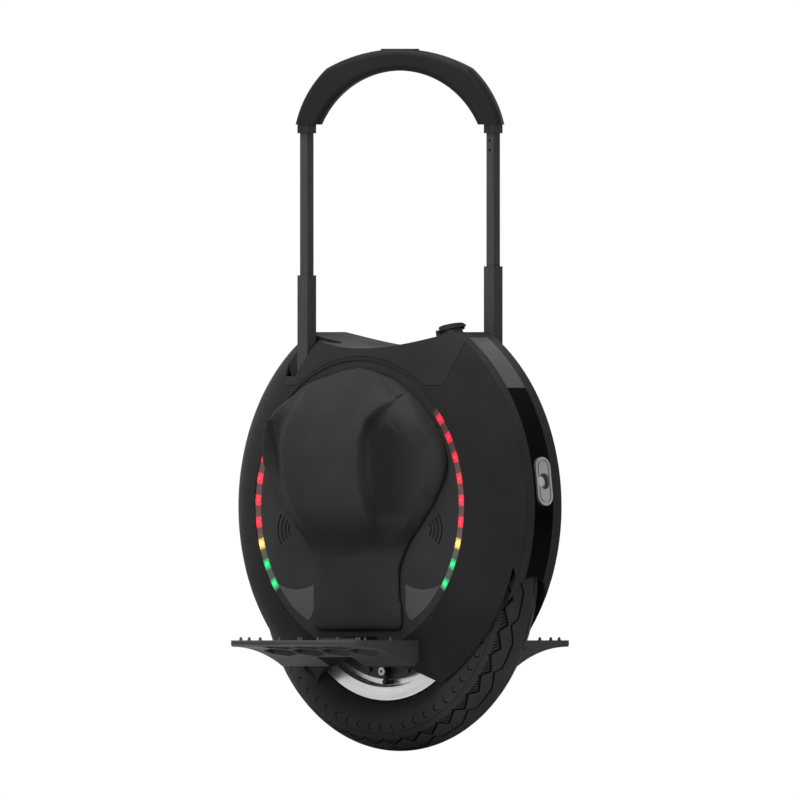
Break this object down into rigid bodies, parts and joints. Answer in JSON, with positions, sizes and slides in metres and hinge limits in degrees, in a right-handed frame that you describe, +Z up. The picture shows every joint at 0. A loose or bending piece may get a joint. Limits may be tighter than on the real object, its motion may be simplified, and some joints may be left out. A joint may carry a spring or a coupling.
{
  "type": "electric unicycle",
  "caption": "Self-balancing single-wheel vehicle with a hub motor in a round shell, folding pedals, leg pads, ring lights and a telescopic trolley handle.",
  "frame": {"origin": "on the ground under the wheel's axle", "axes": "+X forward to the headlight, +Y to the rider's left along the axle, +Z up"},
  "size_m": [0.409, 0.308, 0.7026],
  "materials": {
    "tyre_rubber": "matt black tread rubber",
    "tube_rubber": "smooth butyl",
    "rim_metal": "bright turned alloy",
    "steel": "bare steel",
    "magnet": "nickel plated",
    "motor_cover": "dark grey coated casting",
    "copper": "enamelled copper wire",
    "cable": "soft black sheath",
    "hanger_metal": "black coated forging",
    "frame_plastic": "plain moulded black",
    "shell_plastic": "fine matt texture",
    "gloss_black": "polished black",
    "marker_grey": "smoked grey",
    "bezel_metal": "satin silver",
    "lamp_white": "lit lens",
    "tail_red": "clear red lens",
    "guide_plastic": "translucent strip",
    "led_red": "lit red",
    "led_amber": "lit amber",
    "led_green": "lit green",
    "insert_grey": "satin grey",
    "pad_foam": "moulded soft foam with a matt skin",
    "battery": "shrink wrapped pack",
    "board": "coated board",
    "sink_metal": "extruded",
    "speaker": "black frame and cone",
    "tube_metal": "black anodised tube",
    "grip_plastic": "fine grained grip",
    "pedal_metal": "black coated casting",
    "cap_rubber": "soft moulded rubber",
    "button_plastic": "satin key"
  },
  "bodies": {
    "chassis": {"axle": "steel", "stator_core": "steel", "stator_windings": "copper", "motor_cable": "cable", "pedal_hanger_right": "hanger_metal", "pedal_hanger_left": "hanger_metal", "hanger_fasteners": "steel", "hinge_pins": "steel", "inner_frame": "frame_plastic", "shell_right": "shell_plastic", "shell_left": "shell_plastic", "front_band": "shell_plastic", "rear_band": "shell_plastic", "top_cover": "shell_plastic", "front_window": "gloss_black", "rear_window": "gloss_black", "front_marker": "marker_grey", "rear_marker": "marker_grey", "headlight_bezel": "bezel_metal", "headlight_led": "lamp_white", "tail_light_bezel": "bezel_metal", "tail_light_lens": "tail_red", "side_cover_right": "shell_plastic", "side_cover_left": "shell_plastic", "light_guides": "guide_plastic", "leds_red": "led_red", "leds_amber": "led_amber", "leds_green": "led_green", "inserts": "insert_grey", "leg_pad_right": "pad_foam", "leg_pad_left": "pad_foam", "battery_packs": "battery", "control_board": "board", "heat_sink": "sink_metal", "speakers": "speaker", "charge_socket": "shell_plastic", "cover_screws": "steel", "rod_guides": "frame_plastic"},
    "wheel": {"tyre": "tyre_rubber", "inner_tube": "tube_rubber", "rim": "rim_metal", "rotor_ring": "steel", "rotor_magnets": "magnet", "motor_covers": "motor_cover", "motor_cover_screws": "steel", "valve_stem": "bezel_metal", "wheel_bearings": "steel"},
    "handle_lower_front": {"lower_tube_front": "tube_metal"},
    "handle_lower_rear": {"lower_tube_rear": "tube_metal"},
    "handle_upper": {"upper_tubes": "tube_metal", "handle_collars": "grip_plastic", "grip": "grip_plastic"},
    "handle_release": {"release_button": "button_plastic"},
    "charge_flap": {"charge_cap": "cap_rubber"},
    "power_key": {"power_button": "button_plastic"},
    "pedal_right_arm": {"pedal_right": "pedal_metal", "pedal_studs_right": "steel"},
    "pedal_left_arm": {"pedal_left": "pedal_metal", "pedal_studs_left": "steel"}
  },
  "joints": [
    {"name": "wheel_spin", "type": "hinge", "parent": "chassis", "child": "wheel", "pos_m": [0, 0, 0.182], "axis": [0, 1, 0], "continuous": true},
    {"name": "right_pedal_fold", "type": "hinge", "parent": "chassis", "child": "pedal_right_arm", "pos_m": [0, -0.085, 0.105], "axis": [-1, 0, 0], "range_deg": [0, 85]},
    {"name": "left_pedal_fold", "type": "hinge", "parent": "chassis", "child": "pedal_left_arm", "pos_m": [0, 0.085, 0.105], "axis": [1, 0, 0], "range_deg": [0, 85]},
    {"name": "lower_stage_slide", "type": "slide", "parent": "chassis", "child": "handle_lower_front", "axis": [0, 0, 1], "range_m": [-0.095, 0]},
    {"name": "rear_stage_slide", "type": "slide", "parent": "chassis", "child": "handle_lower_rear", "axis": [0, 0, 1], "range_m": [-0.095, 0]},
    {"name": "upper_stage_slide", "type": "slide", "parent": "handle_lower_front", "child": "handle_upper", "axis": [0, 0, 1], "range_m": [-0.13, 0]},
    {"name": "release_press", "type": "slide", "parent": "handle_upper", "child": "handle_release", "axis": [0, 0, 1], "range_m": [-0.0025, 0], "stiffness_N_per_m": 400, "springref_m": 0.001},
    {"name": "charge_flap_open", "type": "hinge", "parent": "chassis", "child": "charge_flap", "pos_m": [0.05733, 0, 0.41905], "axis": [0, -1, 0], "range_deg": [0, 110]},
    {"name": "power_press", "type": "slide", "parent": "chassis", "child": "power_key", "axis": [-0.0634, 0, 0.998], "range_m": [-0.0015, 0], "stiffness_N_per_m": 400, "springref_m": 0.001}
  ],
  "couplings": [
    {"joint": "rear_stage_slide", "follows": "lower_stage_slide", "ratio": 1}
  ]
}
